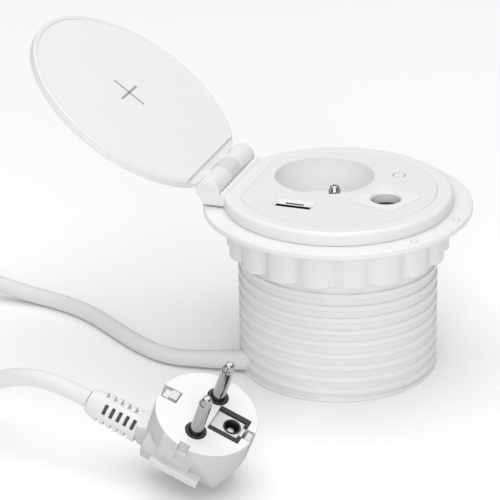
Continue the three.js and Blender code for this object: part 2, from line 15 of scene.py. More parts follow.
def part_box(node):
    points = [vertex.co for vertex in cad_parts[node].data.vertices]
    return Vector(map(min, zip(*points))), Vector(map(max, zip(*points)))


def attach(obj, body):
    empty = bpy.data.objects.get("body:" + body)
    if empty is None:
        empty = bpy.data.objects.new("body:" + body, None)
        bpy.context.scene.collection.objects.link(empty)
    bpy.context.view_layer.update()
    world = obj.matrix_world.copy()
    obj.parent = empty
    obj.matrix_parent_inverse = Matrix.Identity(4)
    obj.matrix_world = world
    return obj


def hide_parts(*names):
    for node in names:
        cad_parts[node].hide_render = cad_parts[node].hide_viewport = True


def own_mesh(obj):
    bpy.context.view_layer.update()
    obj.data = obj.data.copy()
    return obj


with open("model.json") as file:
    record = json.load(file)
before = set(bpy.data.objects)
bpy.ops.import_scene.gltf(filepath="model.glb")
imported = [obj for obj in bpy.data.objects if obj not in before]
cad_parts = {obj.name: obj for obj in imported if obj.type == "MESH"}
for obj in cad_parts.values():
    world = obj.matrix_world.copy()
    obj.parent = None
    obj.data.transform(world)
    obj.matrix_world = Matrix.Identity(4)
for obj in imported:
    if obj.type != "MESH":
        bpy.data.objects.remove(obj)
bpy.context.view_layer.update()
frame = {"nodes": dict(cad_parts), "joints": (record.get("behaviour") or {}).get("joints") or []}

MM = 0.001
FULL = 2 * math.pi


def low(node):
    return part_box(node)[0] / MM


def high(node):
    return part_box(node)[1] / MM


def joint(name):
    return next(j for j in frame["joints"] if j["name"] == name)


# ---------------------------------------------------------------- sizes, and places from the frame
FLANGE_R = high("threaded_barrel").x
FLANGE_TOP = high("threaded_barrel").z
FLANGE_UNDER = FLANGE_TOP - 2.4
SEAT_R = 44.4  # inside this radius the flange's underside is relieved by SEAT_STEP
SEAT_STEP = 0.4
FLANGE_GROOVES = [(-29.4, -39.7), (-4.3, -49.3)]
BARREL_R = 39.5
BARREL_INNER = BARREL_R - 2.4
COVER_R = 36.8
SCREW_CIRCLE_R = 33.9

BEZEL_R = high("top_bezel").x
BEZEL_FLAT = 41.5
BEZEL_TOP = high("socket_panel").z
BEZEL_BORE = 35.7
PANEL_R = 38.9
PANEL_FLAT = 33.5
PANEL_SLACK = 0.05

HINGE = Vector(joint("lid_hinge")["pos_m"]) / MM
LID_OPEN = math.radians(-joint("lid_hinge")["range_deg"][0])
KNUCKLE_R = 4.8
HINGE_HALF = 21.0
HINGE_FOOT_Z = 69.5
KNUCKLE_EDGES = (5.5, 13.2)
KNUCKLE_GAP = 0.15
LID_REACH = 5.0  # how near the lid's edge strip comes to the hinge's axis

LID_R = 46.5
LID_FLAT = 41.0
LID_SEAM = 38.2
LID_RIM = 1.9
LID_CORNER = 0.9
LID_MARK_Y = -3.3
LID_UNDER = BEZEL_TOP + 0.3
LID_TOP = LID_UNDER + 3.75

CUP_AT = (low("socket_cup") + high("socket_cup")) / 2
CUP_R = 19.65
CUP_FLOOR = BEZEL_TOP - 15
EARTH_DIR = Vector((-0.76, -0.65, 0))
ACROSS = Vector((0.65, -0.76, 0))
PIN_PITCH = 19.0
MAINS_PIN_R = 2.4
PIN_HOLE_R = 2.7
EARTH_OFFSET = 10.0
EARTH_PIN_FOOT = 45.6
SHUTTER_SPRING_FROM = 4.1
SHUTTER_SPRING_LONG = 4.3

USB_AT = (low("usb_shell") + high("usb_shell")) / 2
PORT_NEAR, PORT_FAR, PORT_LENGTH = -3.3, 4.4, 15.6
PORT_FLOOR = 60.2
OUTLET_AT = (low("cable_outlet") + high("cable_outlet")) / 2
OUTLET_TURN = math.radians(-22)
OUTLET_SIDE = 20.0
OUTLET_COLLAR = 4.1
PIPE_R = 7.0
BUTTON_AT = (low("power_button") + high("power_button")) / 2
BUTTON_R = 2.25
BUTTON_SEAT = 70.4
BUTTON_SPRING_FOOT = 66.35

NUT_TOP = high("clamping_nut").z
NUT_LOW = low("clamping_nut").z
NUT_R = 43.9
NUT_BORE = BARREL_R + 0.4
NUT_LOBES = 18
NUT_VALLEY = 2.2  # how deep the grip's valleys are
NUT_SHARPNESS = 2.2  # how narrow they are
NUT_CHAMFER = 1.1
NUT_TURN = math.radians(15.1)

CORD_R = 3.4
GLAND_IN = Vector((-21.1, 20.7, 5.7))
GLAND_OUT = Vector((-25.0, 52.6, 3.8))
PLUG_AT = Vector((-118.8, 11.65, 31.2))
PLUG_TURN = Euler((math.radians(22.7), math.radians(-16.9), math.radians(0.6)), "YXZ")
PLUG_R = 19.1
PLUG_DEPTH = 29.0
PLUG_PIN_TIP = 19.0
PLUG_EARTH_AT = (0.4, -10.2)
RELIEF_Z = -24.8
RELIEF_FROM = 21.4
RELIEF_END = 43.0
RELIEF_TURN = 135  # degrees about the sleeve's axis to the first row of windows


# ---------------------------------------------------------------- camera, lights and floor
CAMERA_AT = (-912.7, -291.2, 465.4)
CAMERA_TARGET = (-11.75, 32.7, 48.24)
CAMERA_ROLL = math.radians(-0.88)
CAMERA_LENS = 190.1
SKY_STRENGTH = 0.31
FLOOR_SIZE = 12  # metres


def aimed(obj, place, target, roll=0.0):
    obj.location = Vector(place) * MM
    look = (Vector(target) - Vector(place)).to_track_quat("-Z", "Y").to_matrix()
    obj.rotation_mode = "QUATERNION"
    obj.rotation_quaternion = (look @ Matrix.Rotation(roll, 3, "Z")).to_quaternion()


def camera():
    data = bpy.data.cameras.new("camera")
    data.lens = CAMERA_LENS
    data.sensor_width = 36
    data.clip_end = 20
    made = bpy.data.objects.new("camera", data)
    bpy.context.collection.objects.link(made)
    aimed(made, CAMERA_AT, CAMERA_TARGET, CAMERA_ROLL)
    bpy.context.scene.camera = made


def softbox(name, place, target, width, height, power):
    data = bpy.data.lights.new(name, "AREA")
    data.shape = "RECTANGLE"
    data.size = width * MM
    data.size_y = height * MM
    data.energy = power
    made = bpy.data.objects.new(name, data)
    bpy.context.collection.objects.link(made)
    aimed(made, place, target)


def studio():
    world = bpy.data.worlds.new("studio")
    world.use_nodes = True
    sky = world.node_tree.nodes["Background"]
    sky.inputs["Color"].default_value = (1, 1, 1, 1)
    sky.inputs["Strength"].default_value = SKY_STRENGTH
    scene = bpy.context.scene
    scene.world = world
    scene.view_settings.view_transform = "Standard"
    scene.view_settings.look = "None"
    softbox("overhead", (150, 110, 1700), (120, 90, 0), 2300, 2300, 27.0)
    softbox("front_high", (-1050, -330, 1250), (0, 0, 40), 900, 900, 3.6)
    softbox("front_low", (-1400, -450, 600), (0, 0, 40), 900, 500, 7.2)
    bpy.ops.mesh.primitive_plane_add(size=FLOOR_SIZE)
    floor = bpy.context.object
    floor.name = "floor"
    white = bpy.data.materials.new("floor_white")
    white.use_nodes = True
    shader = white.node_tree.nodes["Principled BSDF"]
    shader.inputs["Base Color"].default_value = (0.95, 0.95, 0.95, 1)
    shader.inputs["Roughness"].default_value = 0.9
    shader.inputs["Specular IOR Level"].default_value = 0.2
    floor.data.materials.append(white)


# ---------------------------------------------------------------- materials
def surface(name, colour, roughness, metallic, grain, relief, mottle):
    """A procedural material: relief mm deep with a grain in mm, and slow changes of colour and gloss."""
    made = bpy.data.materials.new(name)
    made.use_nodes = True
    tree = made.node_tree
    shader = tree.nodes["Principled BSDF"]
    place = tree.nodes.new("ShaderNodeTexCoord")

    def noise(size, detail):
        node = tree.nodes.new("ShaderNodeTexNoise")
        node.inputs["Scale"].default_value = 1 / (size * MM)
        node.inputs["Detail"].default_value = detail
        tree.links.new(place.outputs["Object"], node.inputs["Vector"])
        return node

    def spread(source, first, last):
        node = tree.nodes.new("ShaderNodeMapRange")
        node.inputs["To Min"].default_value = first
        node.inputs["To Max"].default_value = last
        tree.links.new(source.outputs["Fac"], node.inputs["Value"])
        return node

    slow = noise(18, 3)
    tint = tree.nodes.new("ShaderNodeMix")
    tint.data_type = "RGBA"
    tint.inputs["A"].default_value = (*[c * (1 - mottle) for c in colour], 1)
    tint.inputs["B"].default_value = (*[min(1, c * (1 + mottle)) for c in colour], 1)
    tree.links.new(slow.outputs["Fac"], tint.inputs["Factor"])
    tree.links.new(tint.outputs["Result"], shader.inputs["Base Color"])
    rough = spread(noise(6, 2), roughness * 0.88, min(1, roughness * 1.12))
    tree.links.new(rough.outputs["Result"], shader.inputs["Roughness"])
    bump = tree.nodes.new("ShaderNodeBump")
    bump.inputs["Strength"].default_value = 1
    bump.inputs["Distance"].default_value = relief * MM
    tree.links.new(noise(grain, 2).outputs["Fac"], bump.inputs["Height"])
    tree.links.new(bump.outputs["Normal"], shader.inputs["Normal"])
    shader.inputs["Metallic"].default_value = metallic
    return made


def off_white(level):
    return (level, level, level - 0.005)


def materials():
    """Every look by its name: material name, colour, roughness, metallic, grain, relief, mottle."""
    table = {
        "gloss": ("white_gloss", off_white(0.80), 0.42, 0, 0.9, 0.006, 0.008),
        "satin": ("white_satin", off_white(0.83), 0.55, 0, 0.5, 0.008, 0.008),
        "lid_face": ("white_lid_face", off_white(0.83), 0.5, 0, 0.35, 0.008, 0.008),
        "textured": ("white_textured", off_white(0.74), 0.75, 0, 0.35, 0.03, 0.01),
        # painted shade: a darker copy of the white gloss for the middle hinge block
        "knuckle": ("painted_shade_knuckle", off_white(0.69), 0.5, 0, 0.5, 0.008, 0.01),
        # painted shade: a darker copy of the white gloss for the plug's sides, pads and ledges
        "plug_side": ("painted_shade_plug_side", off_white(0.58), 0.7, 0, 0.4, 0.02, 0.02),
        # painted shade: a darker copy of the white gloss for the plug's ribbed side plates
        "plug_grip": ("painted_shade_plug_grip", off_white(0.72), 0.6, 0, 0.4, 0.02, 0.02),
        # painted shade: a darker copy of the white gloss for the thread's downward flanks
        "groove": ("painted_shade_thread_groove", off_white(0.60), 0.6, 0, 0.5, 0.008, 0.01),
        "outlet": ("white_outlet", off_white(0.81), 0.5, 0, 0.5, 0.008, 0.008),
        "cord": ("white_cord", (0.74, 0.74, 0.73), 0.5, 0, 1.2, 0.02, 0.01),
        "black": ("black_plastic", (0.015, 0.015, 0.016), 0.45, 0, 0.4, 0.01, 0.1),
        # painted shade: a near-black colour for tubes put inside the cable outlet and the strain relief,
        # where there is only shade
        "shade": ("painted_shade_dark", (0.10, 0.10, 0.10), 0.7, 0, 0.5, 0.01, 0.1),
        # painted reflection: nickel darker than real plating, standing in for dark surroundings reflected in
        # the pins and shells
        "nickel": ("nickel", (0.42, 0.41, 0.40), 0.11, 1, 0.4, 0.002, 0.04),
        "soft_nickel": ("soft_nickel", (0.66, 0.65, 0.63), 0.5, 0.6, 0.4, 0.003, 0.04),
        "steel": ("steel", (0.52, 0.52, 0.53), 0.35, 1, 0.3, 0.006, 0.05),
        "brass": ("brass", (0.76, 0.58, 0.28), 0.3, 1, 0.4, 0.004, 0.06),
        "copper": ("copper", (0.72, 0.36, 0.2), 0.35, 1, 0.3, 0.02, 0.08),
        "brown": ("wire_brown", (0.16, 0.07, 0.03), 0.5, 0, 0.5, 0.01, 0.06),
        "blue": ("wire_blue", (0.03, 0.12, 0.42), 0.5, 0, 0.5, 0.01, 0.06),
        "green": ("wire_green", (0.28, 0.46, 0.05), 0.5, 0, 0.5, 0.01, 0.3),
        "board": ("board", (0.03, 0.16, 0.06), 0.45, 0, 0.4, 0.01, 0.15),
        "ferrite": ("ferrite", (0.05, 0.05, 0.055), 0.75, 0, 0.3, 0.02, 0.15),
        "grey_mark": ("grey_mark", (0.36, 0.36, 0.365), 0.6, 0, 0.3, 0.004, 0.05),
    }
    return {look: surface(*values) for look, values in table.items()}


# ---------------------------------------------------------------- mesh tools
WELD = 2e-7  # metres between points that are merged


def build(name, points, faces):
    """A mesh object from points in millimetres, with shared points merged and faces turned outwards."""
    data = bpy.data.meshes.new(name)
    data.from_pydata([tuple(c * MM for c in p) for p in points], [], faces)
    made = bpy.data.objects.new(name, data)
    bpy.context.collection.objects.link(made)
    mesh = bmesh.new()
    mesh.from_mesh(data)
    bmesh.ops.remove_doubles(mesh, verts=mesh.verts, dist=WELD)
    bmesh.ops.recalc_face_normals(mesh, faces=mesh.faces)
    mesh.to_mesh(data)
    mesh.free()
    return made


def rounded(points, radius=0.0, steps=4, closed=False):
    """A line of (a, b) or (a, b, own radius) points with its corners turned into arcs."""
    out = []
    count = len(points)
    for i, point in enumerate(points):
        here = Vector(point[:2])
        size = point[2] if len(point) > 2 else radius
        ends = not closed and i in (0, count - 1)
        before = Vector(points[i - 1][:2]) - here
        after = Vector(points[(i + 1) % count][:2]) - here
        if ends or size <= 0 or before.length < 1e-6 or after.length < 1e-6:
            out.append(tuple(here))
            continue
        angle = before.angle(after)
        if angle > math.pi - 0.02:
            out.append(tuple(here))
            continue
        reach = min(size / math.tan(angle / 2), 0.49 * before.length, 0.49 * after.length)
        size = reach * math.tan(angle / 2)
        before.normalize()
        after.normalize()
        centre = here + (before + after).normalized() * (size / math.sin(angle / 2))
        start = here + before * reach - centre
        end = here + after * reach - centre
        sweep = start.angle_signed(end)
        for k in range(steps + 1):
            turn = -sweep * k / steps
            c, s = math.cos(turn), math.sin(turn)
            out.append((centre.x + start.x * c - start.y * s, centre.y + start.x * s + start.y * c))
    return out


def skin(name, columns, around=True, closed=False):
    """Columns of points joined side by side; closed joins each column's end to its start."""
    count = len(columns[0])
    points = [p for column in columns for p in column]
    faces = []
    for i in range(len(columns) if around else len(columns) - 1):
        a = i * count
        b = ((i + 1) % len(columns)) * count
        for k in range(count if closed else count - 1):
            n = (k + 1) % count
            faces.append((a + k, b + k, b + n, a + n))
    return build(name, points, faces)


def lathe(name, profile, segments=96, at=(0, 0), closed=False):
    """A profile of (radius, height) points turned about a vertical line."""
    columns = []
    for i in range(segments):
        c, s = math.cos(FULL * i / segments), math.sin(FULL * i / segments)
        columns.append([(at[0] + r * c, at[1] + r * s, z) for r, z in profile])
    return skin(name, columns, closed=closed)


def stack(name, rings, closed=False):
    """Rings of points joined in order; the first and last are capped unless closed."""
    count = len(rings[0])
    points = [p for ring in rings for p in ring]
    faces = []
    for i in range(len(rings) if closed else len(rings) - 1):
        a = i * count
        b = ((i + 1) % len(rings)) * count
        for k in range(count):
            n = (k + 1) % count
            faces.append((a + k, a + n, b + n, b + k))
    if not closed:
        faces.append(tuple(range(count)))
        faces.append(tuple(range(len(points) - count, len(points))))
    return build(name, points, faces)


def prism(name, outline, z0, z1):
    return stack(name, [[(x, y, z) for x, y in outline] for z in (z0, z1)])


def slab(name, outline, x0, x1):
    """An outline in YZ stretched along X."""
    return stack(name, [[(x, y, z) for y, z in outline] for x in (x0, x1)])


def box(name, corner, opposite):
    (x0, y0, z0), (x1, y1, z1) = corner, opposite
    return prism(name, [(x0, y0), (x1, y0), (x1, y1), (x0, y1)], z0, z1)


def on_circle(radius, turn, at=(0, 0)):
    return (at[0] + radius * math.cos(turn), at[1] + radius * math.sin(turn))


def flat_circle(radius, flat, corner, steps=6, arc=120):
    """A circle cut straight at y = flat, with both corners rounded, counter-clockwise."""
    cy = flat - corner
    cx = math.sqrt(max((radius - corner) ** 2 - cy**2, 0))
    lean = math.atan2(cy, cx)
    out = []
    for side, start, end in ((1, lean, math.pi / 2), (-1, math.pi / 2, math.pi - lean)):
        for k in range(steps + 1):
            out.append(on_circle(corner, start + (end - start) * k / steps, (side * cx, cy)))
    for k in range(1, arc):
        out.append(on_circle(radius, math.pi - lean + (math.pi + 2 * lean) * k / arc))
    return out


def flat_stack(name, levels, closed=False):
    """Levels of (radius, flat, corner, z), each a flat-sided circle."""
    rings = [[(x, y, z) for x, y in flat_circle(*shape)] for *shape, z in levels]
    return stack(name, rings, closed)


def edge_levels(radius, flat, corner, z, round_by, up=True, steps=5):
    """The levels of a rounded top or bottom edge, from the side wall to the face at height z."""
    out = []
    for k in range(steps + 1):
        turn = math.pi / 2 * k / steps
        inset = round_by * (1 - math.cos(turn))
        drop = round_by * (1 - math.sin(turn))
        level = z - drop if up else z + drop
        out.append((radius - inset, flat - inset, max(corner - inset, 0.05), level))
    return out if up else out[::-1]


def rounded_box(w, h, corner, steps=4):
    """A rounded rectangle's outline about the origin."""
    out = []
    for quarter, (sx, sy) in enumerate(((1, 1), (-1, 1), (-1, -1), (1, -1))):
        for k in range(steps + 1):
            middle = (sx * (w / 2 - corner), sy * (h / 2 - corner))
            out.append(on_circle(corner, math.pi / 2 * (quarter + k / steps), middle))
    return out


def circle(radius, count=32, at=(0, 0)):
    return [on_circle(radius, FULL * k / count, at) for k in range(count)]


def moved(outline, at, turn=0.0):
    c, s = math.cos(turn), math.sin(turn)
    return [(at[0] + x * c - y * s, at[1] + x * s + y * c) for x, y in outline]


def drill(radius, at, z0, z1, count=40):
    """A cutter for a round hole."""
    return prism("tool", circle(radius, count, at), z0, z1)


def applied(obj):
    graph = bpy.context.evaluated_depsgraph_get()
    data = bpy.data.meshes.new_from_object(obj.evaluated_get(graph))
    obj.modifiers.clear()
    obj.data = data
    return obj


def combined(obj, others, operation):
    for other in others:
        step = obj.modifiers.new("join", "BOOLEAN")
        step.object = other
        step.operation = operation
        step.solver = "EXACT"
    applied(obj)
    for other in others:
        bpy.data.objects.remove(other)
    return obj


def carve(obj, *tools):
    return combined(obj, tools, "DIFFERENCE")


def weld(obj, *others):
    return combined(obj, others, "UNION")


def soften(obj, width, segments=3, angle=30):
    """Rounds the edges that are sharper than angle degrees."""
    step = obj.modifiers.new("edges", "BEVEL")
    step.width = width * MM
    step.segments = segments
    step.limit_method = "ANGLE"
    step.angle_limit = math.radians(angle)
    return applied(obj)


def placed(obj, matrix):
    """Moves the mesh, not the object, by a matrix in millimetres."""
    scaled = matrix.copy()
    scaled.translation *= MM
    obj.data.transform(scaled)
    return obj


def settle(obj, body, slot, look, *nodes, angle=32):
    """Shades, paints and rides a finished piece, and hides the CAD nodes that it stands for."""
    mesh = bmesh.new()
    mesh.from_mesh(obj.data)
    for face in mesh.faces:
        face.smooth = True
    for edge in mesh.edges:
        edge.smooth = len(edge.link_faces) == 2 and edge.calc_face_angle() < math.radians(angle)
    mesh.to_mesh(obj.data)
    mesh.free()
    even = obj.modifiers.new("normals", "WEIGHTED_NORMAL")
    even.keep_sharp = True
    applied(obj)
    obj.data.materials.clear()
    obj.data.materials.append(LOOK[look])
    if nodes:
        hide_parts(*nodes)
    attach(obj, body)


def keep(look, *nodes):
    """CAD nodes that stay, with a better material."""
    for node in nodes:
        data = frame["nodes"][node].data
        data.materials.clear()
        data.materials.append(LOOK[look])


SPRING_STEPS = 18  # points in each turn of a spring


def coil_spring(name, foot, head, joint_name, node, radius, wire, turns, shortest):
    """A wound spring from its foot to its head."""
    line = bpy.data.curves.new(name, "CURVE")
    line.dimensions = "3D"
    line.bevel_depth = wire * MM
    line.bevel_resolution = 2
    line.use_fill_caps = True
    path = line.splines.new("POLY")
    steps = turns * SPRING_STEPS
    path.points.add(steps)
    lean = (head - foot).to_track_quat("Z", "Y").to_matrix()
    length = (head - foot).length - 2 * wire
    for k, point in enumerate(path.points):
        at = Vector((*on_circle(radius, FULL * turns * k / steps), wire + length * k / steps))
        point.co = (*((foot + lean @ at) * MM), 1)
    wound = bpy.data.objects.new(name + "_line", line)
    bpy.context.collection.objects.link(wound)
    graph = bpy.context.evaluated_depsgraph_get()
    made = bpy.data.objects.new(name, bpy.data.meshes.new_from_object(wound.evaluated_get(graph)))
    bpy.context.collection.objects.link(made)
    bpy.data.objects.remove(wound)
    settle(made, "housing", "steel", "steel", node, angle=50)
    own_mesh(made)


# ---------------------------------------------------------------- the cord
CORD_STEP = 2.5
CORD_INSIDE = 0.12  # the share of the gland that the cord reaches into
CORD_UPPER = [
    (-25.04, 52.9, 3.8), (-25.3, 59.2, 3.55), (-23.7, 67.8, 3.45), (-19.2, 77, 3.45), (-12.9, 86.8, 3.45),
    (-5.6, 96.8, 3.45), (1.4, 107, 3.45), (6.8, 118, 3.45), (10.3, 129.5, 3.5), (11.9, 141, 4.2),
    (12.3, 152.5, 6.2), (12, 163.6, 8.9), (12, 167, 9.4),
]
CORD_LOWER = [
    (-75.1, 168, 3.45), (-75.4, 160, 3.45), (-77.4, 151, 3.5), (-81.8, 142, 4), (-88, 133, 6),
    (-94.2, 124, 9.9), (-99.8, 115, 15.5), (-104.6, 106.5, 21.6), (-108.2, 98, 26.8), (-110.4, 89.5, 30.2),
    (-111.6, 81, 31.3), (-112, 73.2, 30.3), (-112, 66, 28.1), (-111.96, 60.8, 26.1),
]
COIL_AT = (low("cord_coil") + high("cord_coil")) / 2
COIL_PITCH = 6.84
COIL_INNER = 25.9
COIL_STEPS = 36  # points in each turn
COIL_LOWER_Z = 3.45
COIL_UPPER_Z = 10.2


def coil_points():
    """The coil's centreline: 2.5 turns inwards on top, a third of a turn down, and outwards again below."""
    upper, drop, whole = 2.5, 2.5 + 1 / 3, 5.5
    steps = int(whole * COIL_STEPS)
    out = []
    for k in range(steps + 1):
        turn = whole * k / steps
        if turn < upper:
            radius, z = COIL_INNER + COIL_PITCH * (upper - turn), COIL_UPPER_Z
        elif turn < drop:
            part = (turn - upper) / (drop - upper)
            radius = COIL_INNER - 0.3 * math.sin(math.pi * part)
            z = COIL_UPPER_Z + (COIL_LOWER_Z - COIL_UPPER_Z) * (3 - 2 * part) * part**2
        else:
            radius, z = COIL_INNER + COIL_PITCH * (turn - drop), COIL_LOWER_Z
        out.append((*on_circle(radius, FULL * turn, COIL_AT), z))
    return out


def through(points, spacing):
    """Points about spacing apart on a centripetal Catmull-Rom curve through the given ones."""
    known = [Vector(p) for p in points]
    known = [known[0] * 2 - known[1], *known, known[-1] * 2 - known[-2]]
    out = []
    for a, b, c, d in zip(known, known[1:], known[2:], known[3:]):
        t1 = math.sqrt((b - a).length)
        t2 = t1 + math.sqrt((c - b).length)
        t3 = t2 + math.sqrt((d - c).length)
        count = max(1, round((c - b).length / spacing))
        for k in range(count):
            t = t1 + (t2 - t1) * k / count
            ab = a.lerp(b, t / t1)
            bc = b.lerp(c, (t - t1) / (t2 - t1))
            cd = c.lerp(d, (t - t2) / (t3 - t2))
            abc = ab.lerp(bc, t / t2)
            bcd = bc.lerp(cd, (t - t1) / (t3 - t1))
            out.append(abc.lerp(bcd, (t - t1) / (t2 - t1)))
    out.append(known[-2])
    return out


def cord_route():
    coil = coil_points()
    upper = through([GLAND_OUT.lerp(GLAND_IN, CORD_INSIDE), *CORD_UPPER, coil[0]], CORD_STEP)
    lower = through([coil[-1], *CORD_LOWER], CORD_STEP)
    return [*upper, *[Vector(p) for p in coil[1:-1]], *lower]


def cord():
    """The lead as one curve from inside the gland to the plug's strain relief, and its length in mm."""
    route = cord_route()
    data = bpy.data.curves.new("mains_cord", "CURVE")
    data.dimensions = "3D"
    data.bevel_depth = CORD_R * MM
    data.bevel_resolution = 6
    data.use_fill_caps = True
    line = data.splines.new("POLY")
    line.points.add(len(route) - 1)
    for point, place in zip(line.points, route):
        point.co = (*(place * MM), 1)
    line.use_smooth = True
    made = bpy.data.objects.new("mains_cord", data)
    bpy.context.collection.objects.link(made)
    data.materials.append(LOOK["cord"])
    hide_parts("cord_upper", "cord_lower", "cord_coil")
    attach(made, "housing")
    return made, sum((b - a).length for a, b in zip(route, route[1:]))


# ---------------------------------------------------------------- threaded barrel
THREAD_PITCH = 5.06
THREAD_DEPTH = 0.9
THREAD_LOW = 1.1
THREAD_HIGH = 63.0
# In this direction the crests' middles lie whole pitches below a point THREAD_LIFT over the flange's top
THREAD_TURN = math.radians(197.7)
THREAD_LIFT = 1.5
CREST_SHARE = 0.25  # the crest's middle in THREAD_FORM
# One pitch of the thread as (share of the pitch, share of the depth), from one flank to the next
THREAD_FORM = [
    (0.005, 0.7), (0.022, 0.35), (0.042, 0.08), (0.075, 0), (0.25, 0), (0.43, 0), (0.463, 0.08),
    (0.483, 0.35), (0.5, 0.7), (0.522, 0.95), (0.56, 1), (0.75, 1), (0.94, 1), (0.983, 0.95),
]


def barrel():
    """The barrel and its flange as one closed skin; the left-hand thread shifts by a pitch at the seam."""
    columns = 180
    inner = BARREL_INNER
    below = [(inner, 0.4), (inner + 0.4, 0), (BARREL_R - 0.5, 0), (BARREL_R - 0.15, 0.15), (BARREL_R, 0.5)]
    relief = FLANGE_UNDER + SEAT_STEP
    above = rounded(
        [
            (BARREL_R, FLANGE_UNDER - 3), (BARREL_R, relief, 0.2), (SEAT_R, relief, 0.1),
            (SEAT_R, FLANGE_UNDER, 0.1), (FLANGE_R, FLANGE_UNDER, 0.4),
            (FLANGE_R, FLANGE_TOP, 0.7), (inner, FLANGE_TOP, 0.3), (inner, FLANGE_TOP - 3),
        ]
    )
    turns = range(int(FLANGE_TOP / THREAD_PITCH) + 3, -3, -1)
    points = []
    for i in range(columns + 1):
        angle = FULL * i / columns
        ring = list(below)
        for n in turns:
            for share, depth in THREAD_FORM:
                pitches = share - CREST_SHARE - n - (angle - THREAD_TURN) / FULL
                z = FLANGE_TOP + THREAD_LIFT + THREAD_PITCH * pitches
                inside = THREAD_LOW < z < THREAD_HIGH
                z = min(max(z, THREAD_LOW), THREAD_HIGH)
                ring.append((BARREL_R - (THREAD_DEPTH * depth if inside else 0), z))
        ring.extend(above)
        points.extend((*on_circle(r, angle), z) for r, z in ring)
    count = len(points) // (columns + 1)
    faces = []
    for i in range(columns):
        a, b = i * count, (i + 1) * count
        for k in range(count):
            n = (k + 1) % count
            faces.append((a + k, b + k, b + n, a + n))
    body = build("barrel", points, faces)
    groove = [
        (1.05, FLANGE_TOP - 0.5), (1.6, FLANGE_TOP - 0.5), (1.6, FLANGE_TOP + 0.1), (1.05, FLANGE_TOP + 0.1),
    ]
    for at in FLANGE_GROOVES:
        carve(body, lathe("tool", groove, 32, at, closed=True))
    settle(body, "housing", "white_gloss", "gloss", "threaded_barrel", angle=50)
    # Painted shade: the thread's downward flanks take the darker groove copy of the white gloss.
    body.data.materials.append(LOOK["groove"])
    for face in body.data.polygons:
        out, z = face.center.xy.length / MM, face.center.z / MM
        if face.normal.z < -0.3 and out > BARREL_R - THREAD_DEPTH and THREAD_LOW < z < THREAD_HIGH:
            face.material_index = 1


# ---------------------------------------------------------------- bezel, hinge and panel
def bezel():
    corner = 3.0
    base = FLANGE_TOP + 0.05
    ledge = BEZEL_TOP - 2.7
    levels = [
        (BEZEL_R - 0.3, BEZEL_FLAT - 0.3, corner - 0.3, base),
        (BEZEL_R, BEZEL_FLAT, corner, base + 0.25),
        *edge_levels(BEZEL_R, BEZEL_FLAT, corner, BEZEL_TOP, 1.5),
        (PANEL_R + 0.35, PANEL_FLAT + 0.35, 1.35, BEZEL_TOP),
        (PANEL_R + 0.1, PANEL_FLAT + 0.1, 1.1, BEZEL_TOP - 0.08),
        (PANEL_R, PANEL_FLAT, 1.0, BEZEL_TOP - 0.35),
        (PANEL_R, PANEL_FLAT, 1.0, ledge),
        (BEZEL_BORE, 32.0, 1.0, ledge),
        (BEZEL_BORE, 32.0, 1.0, base),
    ]
    body = flat_stack("bezel_ring", levels, closed=True)
    settle(body, "housing", "white_gloss", "gloss", "top_bezel")
    low_z, high_z, out = base - 7, base + 0.6, BEZEL_BORE + 1.1
    corners = [(BEZEL_BORE, low_z), (out, low_z), (out, high_z), (BEZEL_BORE, high_z)]
    skirt = lathe("bezel_skirt", rounded(corners, 0.3, closed=True), closed=True)
    settle(skirt, "housing", "white_gloss", "gloss")
    over = BEZEL_TOP + 0.9
    profile = rounded(
        [
            (BEZEL_FLAT, BEZEL_TOP - 1), (BEZEL_FLAT, over, 0.5), (BEZEL_FLAT - 1.7, over, 0.9),
            (BEZEL_FLAT - 2.7, BEZEL_TOP + 0.1, 0.6), (BEZEL_FLAT - 3.0, BEZEL_TOP - 0.1),
            (BEZEL_FLAT - 3.0, BEZEL_TOP - 1),
        ]
    )
    rib = slab("bezel_rib", profile, -HINGE_HALF + 0.5, HINGE_HALF - 0.5)
    settle(soften(rib, 0.25, 3, 60), "housing", "white_gloss", "gloss")


def arc_yz(start, end, steps=28):
    """Points on the hinge's knuckle circle, as (y, z), between two angles in degrees."""
    out = []
    for k in range(steps + 1):
        turn = math.radians(start + (end - start) * k / steps)
        out.append(on_circle(KNUCKLE_R, turn, HINGE.yz))
    return out


def hinge_spans():
    """Where the fixed and the moving knuckles lie along X."""
    near, far = KNUCKLE_EDGES
    fixed = [(-HINGE_HALF, -far), (-near, near), (far, HINGE_HALF)]
    moving = [(-far, -near), (near, far)]
    return fixed, moving


def cap_recess(x, direction):
    """A cutter for the round recess in a hinge's end face."""
    tool = lathe("tool", [(0, -0.45), (2.7, -0.45), (2.85, 0.3), (0, 0.3)], 40)
    turn = Matrix.Rotation(math.radians(90) * direction, 4, "Y")
    return placed(tool, Matrix.Translation((x, HINGE.y, HINGE.z)) @ turn)


def hinge():
    fixed, _ = hinge_spans()
    behind = BEZEL_FLAT - 2.5
    foot = [(behind, HINGE.z - 2), (behind, HINGE_FOOT_Z), (HINGE.y + 1.6, HINGE_FOOT_Z)]
    for i, (x0, x1) in enumerate(fixed):
        outline = [*foot, *arc_yz(-20, 190)]
        ends = (x0 + (KNUCKLE_GAP if i else 0), x1 - (KNUCKLE_GAP if i < 2 else 0))
        block = soften(slab(f"hinge_block_{i + 1}", outline, *ends), 0.25, 3)
        if i != 1:
            carve(block, cap_recess(ends[0] if i == 0 else ends[1], -1 if i == 0 else 1))
        # Painted shade: the middle block takes the darker knuckle copy of the white gloss.
        settle(block, "housing", "white_gloss", "knuckle" if i == 1 else "gloss")
    keep("steel", "hinge_pin")


